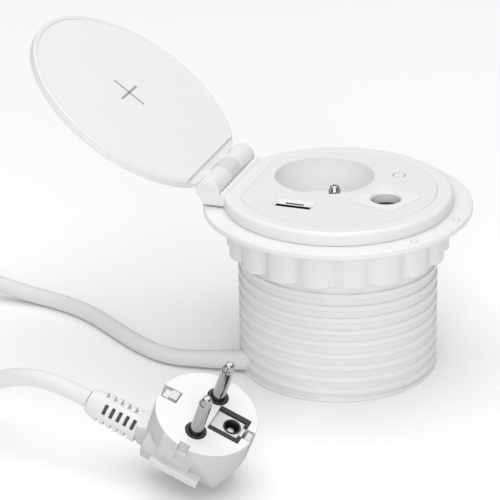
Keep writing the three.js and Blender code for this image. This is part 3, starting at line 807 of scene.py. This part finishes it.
def panel():
    top = BEZEL_TOP
    size = (PANEL_R - PANEL_SLACK, PANEL_FLAT - PANEL_SLACK, 0.95)
    plate = flat_stack("panel_plate", [(*size, top - 2.4), *edge_levels(*size, top, 0.12, steps=3)])
    through_z = (top - 5, top + 1)
    cup_hole = drill(CUP_R + 0.36, CUP_AT, *through_z, 128)
    port = rounded_box(PORT_FAR - PORT_NEAR + 0.2, PORT_LENGTH + 0.2, 0.5)
    usb_hole = prism("tool", moved(port, (USB_AT.x + (PORT_NEAR + PORT_FAR) / 2, USB_AT.y)), *through_z)
    square = rounded_box(OUTLET_SIDE + 0.2, OUTLET_SIDE + 0.2, 1.1)
    outlet_hole = prism("tool", moved(square, OUTLET_AT, OUTLET_TURN), *through_z)
    button_hole = drill(BUTTON_R + 0.37, BUTTON_AT, *through_z)
    carve(plate, cup_hole, usb_hole, outlet_hole, button_hole)
    soften(plate, 0.12, 2, 50)
    settle(plate, "housing", "white_textured", "textured", "socket_panel")


# ---------------------------------------------------------------- socket recess
def socket():
    top = BEZEL_TOP
    under = low("socket_cup").z
    outer = CUP_R + 1.2
    profile = rounded(
        [
            (0, under), (outer, under, 0.3), (outer, top - 2.6, 0.3), (CUP_R + 0.3, top - 2.6, 0.1),
            (CUP_R + 0.3, top - 0.02, 0.05), (CUP_R, top - 0.02, 0.1), (CUP_R, CUP_FLOOR, 1.2),
            (0, CUP_FLOOR),
        ]
    )
    cup = lathe("socket_cup_wall", profile, 128, CUP_AT)
    centre = Vector((CUP_AT.x, CUP_AT.y, 0))
    holes = [centre + ACROSS * PIN_PITCH / 2 * side for side in (-1, 1)]
    earth = centre + EARTH_DIR * EARTH_OFFSET
    mouth = [(PIN_HOLE_R, CUP_FLOOR - 0.5), (3.3, CUP_FLOOR + 0.1), (0, CUP_FLOOR + 0.1)]
    hole_form = [(0, CUP_FLOOR - 5), (PIN_HOLE_R, CUP_FLOOR - 5), *mouth]
    carve(cup, *[lathe("tool", hole_form, 40, hole) for hole in holes])
    settle(cup, "housing", "white_satin", "satin", "socket_cup")

    z0, z1 = CUP_FLOOR - 0.5, CUP_FLOOR + 0.8
    collar_form = rounded([(2.45, z0), (4.6, z0), (4.6, z1, 0.3), (2.45, z1, 0.2)])
    collar = lathe("earth_collar", collar_form, 48, earth, closed=True)
    settle(collar, "housing", "white_satin", "satin")
    tip = high("earth_pin").z
    pin_form = rounded(
        [
            (0, EARTH_PIN_FOOT), (MAINS_PIN_R, EARTH_PIN_FOOT), (MAINS_PIN_R, tip - 2.2, 0.6),
            (1.75, tip - 0.5, 0.6), (0.9, tip, 0.3), (0, tip),
        ]
    )
    pin = lathe("earth_pin_round", pin_form, 48, earth)
    settle(pin, "housing", "nickel", "nickel", "earth_pin")
    keep("brass", "contact_live", "contact_neutral")
    keep("satin", "contact_carrier", "shutter")
    middle = (low("shutter_spring").z + high("shutter_spring").z) / 2
    push = Vector((*-EARTH_DIR.xy, 0)).normalized()
    head = Vector((CUP_AT.x, CUP_AT.y, middle)) + push * SHUTTER_SPRING_FROM
    foot = head + push * SHUTTER_SPRING_LONG
    size = {"radius": 0.75, "wire": 0.14, "turns": 6, "shortest": 0.19}
    coil_spring("shutter_coil", foot, head, "shutter_slide", "shutter_spring", **size)


# ---------------------------------------------------------------- charging port
def port_rings(*rings):
    """Rounded rectangles round the port, each as (near side, far side, length, corner, height)."""
    out = []
    for near, far, length, corner, z in rings:
        middle = (USB_AT.x + (near + far) / 2, USB_AT.y)
        out.append([(x, y, z) for x, y in moved(rounded_box(far - near, length, corner), middle)])
    return out


def charging_port():
    """The port's frame slopes down from its far side to an opening along its near side."""
    top = BEZEL_TOP
    floor = PORT_FLOOR
    x, y = USB_AT.x, USB_AT.y
    mouth = top - 0.35
    rings = port_rings(
        (PORT_NEAR, PORT_FAR, PORT_LENGTH, 0.5, floor - 4.2),
        (PORT_NEAR, PORT_FAR, PORT_LENGTH, 0.5, top - 0.05),
        (-3.2, 4.3, 15.4, 0.4, top + 0.06),
        (-3.05, 4.1, 15.0, 0.3, top + 0.02),
        (-2.95, 2.1, 14.1, 0.2, mouth),
        (-2.95, 2.1, 14.1, 0.2, floor),
    )
    settle(stack("port_frame", rings), "housing", "white_gloss", "outlet", "usb_body")
    rings = port_rings(
        (-2.92, 2.07, 14.05, 0.3, floor + 0.4),
        (-2.92, 2.07, 14.05, 0.3, top - 1.2),
        (-2.78, 1.95, 13.8, 0.2, top - 1.2),
        (-2.78, 1.95, 13.8, 0.2, floor + 0.7),
    )
    settle(stack("port_shell", rings), "housing", "nickel", "nickel", "usb_shell")
    tongue = box("port_tongue", (x + 0.1, y - 6.85, floor + 0.75), (x + 1.92, y + 6.85, mouth))
    groove = box("tool", (x + 0.9, y - 3.7, mouth - 1), (x + 2.2, y + 3.7, mouth + 1))
    settle(carve(tongue, groove), "housing", "white_gloss", "outlet", "usb_tongue")
    # Painted shade: a black bar filling the tongue's slot, standing in for the slot's shade.
    slot_shade = box("port_slot_painted_shade", (x + 0.92, y - 3.65, mouth - 0.98), (x + 1.9, y + 3.65, mouth + 0.12))
    settle(slot_shade, "housing", "black_plastic", "black")
    # Painted shade: a black box lining the gap beside the tongue, standing in for the shade inside the port.
    rings = port_rings(
        (-2.74, 0.07, 13.6, 0.2, floor + 0.75),
        (-2.74, 0.07, 13.6, 0.2, mouth - 0.05),
        (-2.6, -0.08, 13.3, 0.2, mouth - 0.05),
        (-2.6, -0.08, 13.3, 0.2, floor + 1.3),
    )
    settle(stack("port_painted_shade", rings), "housing", "black_plastic", "black")
    for i in range(4):
        offset = (i - 1.5) * 2.4
        near, far = (x - 0.22, y + offset - 0.5, floor + 1.8), (x - 0.06, y + offset + 0.5, top - 2.6)
        settle(box(f"port_contact_{i + 1}", near, far), "housing", "nickel", "nickel")
    keep("board", "power_board")
    keep("ferrite", "transformer")
    keep("black", "capacitor")


# ---------------------------------------------------------------- cable outlet and button
def cable_outlet():
    top = high("cable_outlet").z
    rings = []
    for inset, corner, drop in ((0, 1.0, 1.9), (0, 1.0, 0.2), (0.1, 0.95, 0.06), (0.4, 0.8, 0)):
        side = OUTLET_SIDE - inset
        square = moved(rounded_box(side, side, corner), OUTLET_AT, OUTLET_TURN)
        rings.append([(x, y, top - drop) for x, y in square])
    plate = stack("outlet_plate", rings)
    pipe_top = top - OUTLET_COLLAR
    weld(plate, prism("collar", circle(PIPE_R, 64, OUTLET_AT), pipe_top, top - 1))
    bell = [(5.85, top - 0.7), (6.3, top - 0.15), (6.5, top + 0.1), (0, top + 0.1)]
    bore = lathe("tool", [(0, -1), (5.85, -1), *bell], 64, OUTLET_AT)
    direction = Vector((math.cos(OUTLET_TURN + math.pi / 2), math.sin(OUTLET_TURN + math.pi / 2)))
    middle = Vector((OUTLET_AT.x, OUTLET_AT.y)) + direction * 5
    slit = prism("tool", moved(rounded_box(0.35, 11, 0.1), middle, OUTLET_TURN), pipe_top - 1, top + 1)
    carve(plate, bore, slit)
    soften(plate, 0.08, 2, 50)
    settle(plate, "housing", "white_gloss", "outlet", "cable_outlet")
    # Painted shade: the pipe under the bore is near black, standing in for the shade down the hole.
    corners = [(5.75, 0.2), (PIPE_R, 0.2), (PIPE_R, pipe_top), (5.75, pipe_top)]
    pipe = lathe("outlet_pipe", rounded(corners, 0.2, closed=True), 64, OUTLET_AT, closed=True)
    settle(pipe, "housing", "black_plastic", "shade")


def button():
    top = high("power_button").z
    rim = BUTTON_SEAT + 0.9
    form = rounded(
        [
            (0, BUTTON_SEAT), (3.2, BUTTON_SEAT), (3.2, rim), (BUTTON_R, rim), (BUTTON_R, top, 0.35),
            (1.5, top - 0.12, 0.5), (0, top - 0.2),
        ]
    )
    settle(lathe("button_cap", form, 48, BUTTON_AT), "button", "white_gloss", "textured", "power_button")
    foot = Vector((*BUTTON_AT.xy, BUTTON_SPRING_FOOT))
    head = Vector((*BUTTON_AT.xy, BUTTON_SEAT - 0.3))
    size = {"radius": 2.4, "wire": 0.2, "turns": 4, "shortest": 0.74}
    coil_spring("button_coil", foot, head, "button_press", "button_spring", **size)
    keep("black", "button_switch")


# ---------------------------------------------------------------- nut and washer
def nut():
    """The nut's skin as upright columns; its rim and foot follow the grip's waves."""
    count = NUT_LOBES * 12
    columns = []
    inner_z = NUT_LOW + NUT_CHAMFER
    for i in range(count):
        valley = ((1 + math.cos(FULL * i * NUT_LOBES / count)) / 2) ** NUT_SHARPNESS
        rim = NUT_R - NUT_VALLEY * valley
        foot = NUT_LOW + 0.6 * valley
        profile = rounded(
            [
                (NUT_BORE, inner_z, 0.3), (BARREL_R + NUT_CHAMFER, inner_z, 0.3), (rim - 0.5, foot, 0.5),
                (rim, foot + 0.6, 0.4), (rim, NUT_TOP, 0.6), (NUT_BORE, NUT_TOP, 0.3),
            ],
            closed=True,
        )
        columns.append([(*on_circle(r, NUT_TURN + FULL * i / count), z) for r, z in profile])
    settle(skin("nut_body", columns, closed=True), "nut", "white_gloss", "gloss", "clamping_nut", angle=40)
    z0, z1, out = low("nut_washer").z, high("nut_washer").z, NUT_R - 0.6
    form = rounded([(NUT_BORE, z0), (out, z0), (out, z1), (NUT_BORE, z1)], 0.25, closed=True)
    washer = lathe("washer_ring", form, 144, closed=True)
    settle(washer, "washer", "white_cord", "cord", "nut_washer")


# ---------------------------------------------------------------- lid
def opened():
    """The matrix that turns a piece built closed, about the hinge, to where the lid rests open."""
    to_hinge = Matrix.Translation(HINGE)
    return to_hinge @ Matrix.Rotation(-LID_OPEN, 4, "X") @ to_hinge.inverted()


def lid():
    turn = opened()
    seat_r = LID_R - LID_RIM
    levels = [
        (seat_r, LID_SEAM, 1.0, LID_UNDER + 1.3),
        (seat_r, LID_SEAM, 1.0, LID_UNDER + 0.2),
        (seat_r + 0.15, LID_SEAM + 0.15, 1.1, LID_UNDER + 0.05),
        (seat_r + 0.4, LID_SEAM + 0.4, 1.2, LID_UNDER),
        *edge_levels(LID_R, LID_FLAT, LID_CORNER, LID_UNDER, 0.6, up=False, steps=4),
        *edge_levels(LID_R, LID_FLAT, LID_CORNER, LID_TOP, 0.8),
        (LID_R - 6, LID_FLAT - 6, 0.5, LID_TOP),
    ]
    shell = flat_stack("lid_body", levels)
    ledge = box("tool", (-30, LID_SEAM + 0.05, LID_UNDER - 1), (30, LID_FLAT + 2, LID_UNDER + 0.9))
    carve(shell, ledge)
    settle(placed(shell, turn), "lid", "white_gloss", "gloss", "lid_shell")
    _, moving = hinge_spans()
    root = LID_FLAT - 2.6
    for i, (x0, x1) in enumerate(moving):
        outline = [(root, LID_TOP - 0.1), (root, LID_UNDER + 1.0), *arc_yz(180, 500)]
        arm = soften(slab(f"lid_knuckle_{i + 1}", outline, x0 + KNUCKLE_GAP, x1 - KNUCKLE_GAP), 0.25, 3)
        settle(placed(arm, turn), "lid", "white_gloss", "gloss")
    strip = [(LID_FLAT - 1.2, LID_TOP - 0.5), (LID_FLAT - 1.2, LID_UNDER + 1.0)]
    for k in range(9):
        strip.append(on_circle(LID_REACH, math.radians(176.5 - 3.6 * k), HINGE.yz))
    edge = slab("lid_edge_strip", strip, -HINGE_HALF + 0.9, HINGE_HALF - 0.9)
    settle(placed(edge, turn), "lid", "white_gloss", "gloss")
    size = (seat_r - 0.06, LID_SEAM - 0.06, 0.9)
    levels = [*edge_levels(*size, LID_UNDER + 0.2, 0.15, up=False, steps=3), (*size, LID_UNDER + 1.1)]
    face = flat_stack("lid_plate", levels)
    settle(placed(face, turn), "lid", "white_satin", "lid_face", "lid_face")
    for name, w, h in (("lid_mark_long", 1.0, 15.5), ("lid_mark_wide", 15.5, 1.0)):
        outline = moved(rounded_box(w, h, 0.3), (0, LID_MARK_Y))
        mark = prism(name, outline, LID_UNDER + 0.17, LID_UNDER + 0.4)
        settle(placed(mark, turn), "lid", "black_plastic", "grey_mark")
    keep("copper", "charging_coil")
    keep("ferrite", "ferrite_sheet")
    keep("board", "lid_board")


# ---------------------------------------------------------------- base cover and cord entry
def base():
    """The round cover under the barrel, notched for the outlet's pipe and the cord, and its three screws."""
    cover = lathe("base_cover", rounded([(0, 0), (COVER_R, 0, 0.4), (COVER_R, 2, 0.2), (0, 2)]), 128)
    cord_notch = [(-14.6, 20.3), (-15, 38), (-35, 34), (-27.6, 18.6)]
    tools = [drill(PIPE_R + 0.3, OUTLET_AT, -1, 3, 48), prism("tool", cord_notch, -1, 3)]
    screws = [on_circle(SCREW_CIRCLE_R, math.radians(turn)) for turn in (30, 165, 285)]
    tools.extend(drill(2.6, at, -1, 1.2, 32) for at in screws)
    carve(cover, *tools)
    soften(cover, 0.2, 2)
    settle(cover, "housing", "white_satin", "satin", "bottom_cover")
    screw_form = rounded([(0, 0.1), (2.3, 0.1, 0.3), (2.3, 0.9), (1, 1.2), (1, 9), (0, 10)])
    for i, (x, y) in enumerate(screws):
        head = lathe(f"base_screw_{i + 1}", screw_form, 40, (x, y))
        slots = [
            box("tool", (x - w, y - h, -1), (x + w, y + h, 0.6)) for w, h in ((1.5, 0.3), (0.3, 1.5))
        ]
        carve(head, *slots)
        settle(head, "housing", "steel", "steel", f"cover_screw_{i + 1}")


def gland():
    """The tapered sleeve where the cord leaves the barrel, built along +Z and turned along the cord."""
    length = (GLAND_OUT - GLAND_IN).length
    root = [(0, 0), (4.9, 0, 0.4), (4.9, 5, 0.3), (4.15, 5.3, 0.2)]
    sleeve = lathe("cord_sleeve", rounded([*root, (4.15, 13, 3), (3.3, length), (0, length)]), 40)
    along = (GLAND_OUT - GLAND_IN).to_track_quat("Z", "Y").to_matrix().to_4x4()
    placed(sleeve, Matrix.Translation(GLAND_IN) @ along)
    settle(sleeve, "housing", "white_cord", "cord", "cord_gland")
    keep("cord", "cord_tail")
    keep("satin", "cord_clamp")
    keep("steel", "clamp_screw_1", "clamp_screw_2")
    keep("brown", "live_wire")
    keep("blue", "neutral_wire")
    keep("green", "earth_wire")


# ---------------------------------------------------------------- plug
def plug():
    """The angled plug, built with its pins along +Z and its cord along +Y; returns its pieces."""
    turn = Matrix.Translation(PLUG_AT) @ PLUG_TURN.to_matrix().to_4x4()
    half = PIN_PITCH / 2
    parts = []

    def put(obj, slot, look, *nodes, angle=32):
        settle(placed(obj, turn), "housing", slot, look, *nodes, angle=angle)
        parts.append(obj)

    shell = plug_shell(half)
    # Painted shade: the shell's sideways and downward faces take the darker plug_side copy of the white
    # gloss.
    sides = [face.index for face in shell.data.polygons if face.normal.z < 0.5]
    put(shell, "white_gloss", "gloss", "plug_body", angle=28)
    shell.data.materials.append(LOOK["plug_side"])
    for index in sides:
        shell.data.polygons[index].material_index = 1
    # Painted shade: the plates take the darker plug_grip copy, and the pads and ledges take the darker
    # plug_side copy.
    for obj in plug_grips():
        put(obj, "white_gloss", "plug_grip" if "plate" in obj.name else "plug_side", angle=28)

    tip = PLUG_PIN_TIP
    for i, x in enumerate((-half, half)):
        profile = rounded(
            [
                (0, -8.6), (MAINS_PIN_R, -8.6), (MAINS_PIN_R, tip - 3.4, 0.2), (2.1, tip - 3.0, 0.2),
                (2.1, tip - 2.2, 0.5), (1.5, tip - 0.4, 0.5), (0.8, tip, 0.2), (0, tip),
            ]
        )
        put(lathe(f"plug_pin_round_{i + 1}", profile, 48, (x, 0)), "nickel", "nickel", f"plug_pin_{i + 1}")
        collar = rounded([(2.5, -3), (3.75, -3), (3.75, 0.25), (2.5, 0.25)], 0.25, closed=True)
        ring = lathe(f"pin_collar_ring_{i + 1}", collar, 48, (x, 0), closed=True)
        put(ring, "black_plastic", "black", f"pin_collar_{i + 1}")

    for obj, slot, look, nodes in earth_contact():
        put(obj, slot, look, *nodes)
    put(strain_relief(), "white_cord", "cord", "plug_strain_relief", angle=40)
    # Painted shade: a near-black tube inside the sleeve, so that its windows show shade.
    form = rounded([(3.5, 0.5), (4.05, 0.5), (4.05, 16.5), (3.5, 16.5)], 0.1, closed=True)
    shade_tube = lathe("relief_painted_shade_tube", form, 40, closed=True)
    put(placed(shade_tube, relief_place()), "black_plastic", "shade")
    return parts


def plug_shell(half):
    """The plug's moulding: a cylinder cut to its slanting sides, with its neck, recesses and grooves."""
    drum = [(0, -PLUG_DEPTH), (PLUG_R - 0.5, -PLUG_DEPTH), (PLUG_R, 0, 0.5), (0, 0)]
    body = lathe("plug_shell", rounded(drum))
    past = PLUG_R + 2
    side = slab(
        "side",
        [
            (-past, 1), (past, 1), (past, -27), (14, -PLUG_DEPTH), (5, -PLUG_DEPTH), (-2, -24),
            (-13.2, -21.6), (-19.3, -12.5), (-past, -12.5),
        ],
        -past,
        past,
    )
    half_front = [(past, 1), (past, -2), (PLUG_R, -2.8), (14.2, -17.5), (11.5, -22.5), (8.5, -PLUG_DEPTH)]
    outline = [*half_front, *[(-x, z) for x, z in reversed(half_front)]]
    front = stack("front", [[(x, y, z) for x, z in outline] for y in (-past, past)])
    combined(body, [side], "INTERSECT")
    combined(body, [front], "INTERSECT")
    soften(body, 0.7, 3, 20)
    neck = lathe("neck", rounded([(0, -5), (9.2, -5), (8.2, 4, 2), (6.2, 9.4, 0.8), (0, 9.4)]), 48)
    start, end = Vector((0, 12.2, -20.8)), Vector((0, 21, RELIEF_Z + 0.4))
    lean = (end - start).to_track_quat("Z", "Y").to_matrix().to_4x4()
    weld(body, placed(neck, Matrix.Translation(start) @ lean))
    tools = [drill(4.05, (x, 0), -3.3, 1) for x in (-half, half)]
    tools.append(prism("tool", moved(rounded_box(12.6, 12.6, 0.4), (0.4, -9.1)), -1.3, 1))
    tools.append(drill(3.5, PLUG_EARTH_AT, -14, 1))
    tools.append(box("tool", (-2.4, -past, -9), (2.4, -14.8, 1)))
    tools.append(box("tool", (-2.9, 11.4, -1.7), (2.9, past, 1)))
    for x0, x1 in ((-past, -17.0), (17.0, past)):
        tools.append(box("tool", (x0, -1.6, -5), (x1, 2.6, 1)))
    tools.append(box("tool", (-2.9, 16.4, -9), (2.9, past, 1)))
    return carve(body, *tools)


def plug_grips():
    """The pad, ledge and ribbed plate on each side of the plug's moulding."""
    made = []
    for i, side in enumerate((-1, 1)):

        def block(name, out, inside, near, far, under, over):
            low_x, high_x = sorted((side * out, side * inside))
            return box(f"plug_{name}_{i + 1}", (low_x, near, under), (high_x, far, over))

        pad = block("pad", 18.3, 11, 2.8, 9.2, -10.5, -0.3)
        ledge = block("ledge", 16.6, 10, -4.0, 15.5, -15.6, -10.8)
        plate = block("plate", 18.2, 10, -8.6, 11.0, -18.6, -15.4)
        for z in (-17.9, -17.0):
            carve(plate, block("rib", 19, 17.8, -7.6, 10.0, z, z + 0.4))
        made.extend(soften(obj, width, 2) for obj, width in ((pad, 0.3), (ledge, 0.6), (plate, 0.25)))
    return made


def earth_contact():
    """The earth contact as (piece, slot, look, nodes): rails, plate, sleeve, core and the two side clips."""
    at = PLUG_EARTH_AT
    out = []
    for i, side in enumerate((-1, 1)):
        x0, x1 = sorted((at[0] + side * 4.2, at[0] + side * 6.1))
        rail = box(f"earth_rail_{i + 1}", (x0, -15.2, -1.4), (x1, -3.0, 0.08))
        end = at[0] + side * 2.6
        hook = box("hook", (min(x0, end), -15.2, -1.4), (max(x1, end), -13.9, 0.08))
        out.append((soften(weld(rail, hook), 0.15, 2), "black_plastic", "black", ()))
    plate = box("earth_plate", (-3.6, -13.7, -1.35), (4.4, -3.2, -0.55))
    carve(plate, drill(2.95, at, -3, 1))
    out.append((soften(plate, 0.12, 2), "nickel", "soft_nickel", ()))
    # Painted shade: the earth sleeve is black, standing in for the shade inside the earth hole.
    form = rounded([(2.6, -13.6), (3.35, -13.6), (3.35, -0.3), (2.6, -0.3)], 0.2, closed=True)
    tube = lathe("earth_sleeve_painted_shade", form, 40, at, closed=True)
    out.append((tube, "nickel", "black", ("earth_sleeve",)))
    core = lathe("earth_core", rounded([(0, -13.6), (1.5, -13.6), (1.5, -2.6, 0.3), (0, -2.6)]), 32, at)
    out.append((core, "nickel", "steel", ()))
    clip = box("side_clip_far", (-1.9, -18.4, -8.6), (1.9, -16.2, -0.35))
    out.append((soften(clip, 0.3, 2), "nickel", "soft_nickel", ("earth_clip_1",)))
    clip = box("side_clip_near", (-1.6, 11.9, -1.5), (2.5, 15.2, 0.15))
    stem = box("stem", (-1.6, 14.6, -8.6), (2.5, 17.4, -0.9))
    out.append((soften(weld(clip, stem), 0.3, 2), "nickel", "soft_nickel", ("earth_clip_2",)))
    return out


def strain_relief():
    """The flexible sleeve where the cord leaves the plug: rings joined by bridges, with windows between."""
    length = RELIEF_END - RELIEF_FROM
    end = [(4.6, length - 0.4, 0.6), (4.2, length, 0.2), (0, length)]
    sleeve = lathe("relief_sleeve", rounded([(0, 0), (6.1, 0, 0.4), (5.9, length - 5, 1), *end]), 64)
    tools = []
    pitch = 2.95
    for k in range(5):
        z = 1.4 + pitch * k
        for quarter in range(4):
            near = quarter % 2 == 0
            width, depth = (4.0, 3.35) if near else (9.0, 4.3)
            z0 = z if near else z + pitch / 2
            tool = box("tool", (-width / 2, depth, z0), (width / 2, 8, z0 + (1.4 if near else 1.25)))
            turn = math.radians(90 * quarter + RELIEF_TURN)
            tools.append(placed(tool, Matrix.Rotation(turn, 4, "Z")))
    carve(sleeve, *tools)
    soften(sleeve, 0.22, 2, 40)
    return placed(sleeve, relief_place())


def relief_place():
    """Stands a sleeve built along +Z on the plug's neck, along +Y."""
    return Matrix.Translation((0, RELIEF_FROM, RELIEF_Z)) @ Matrix.Rotation(math.radians(-90), 4, "X")


LOOK = materials()
camera()
lead, lead_length = cord()
studio()
barrel()
bezel()
hinge()
panel()
socket()
charging_port()
cable_outlet()
button()
nut()
lid()
base()
gland()
plug_pieces = plug()
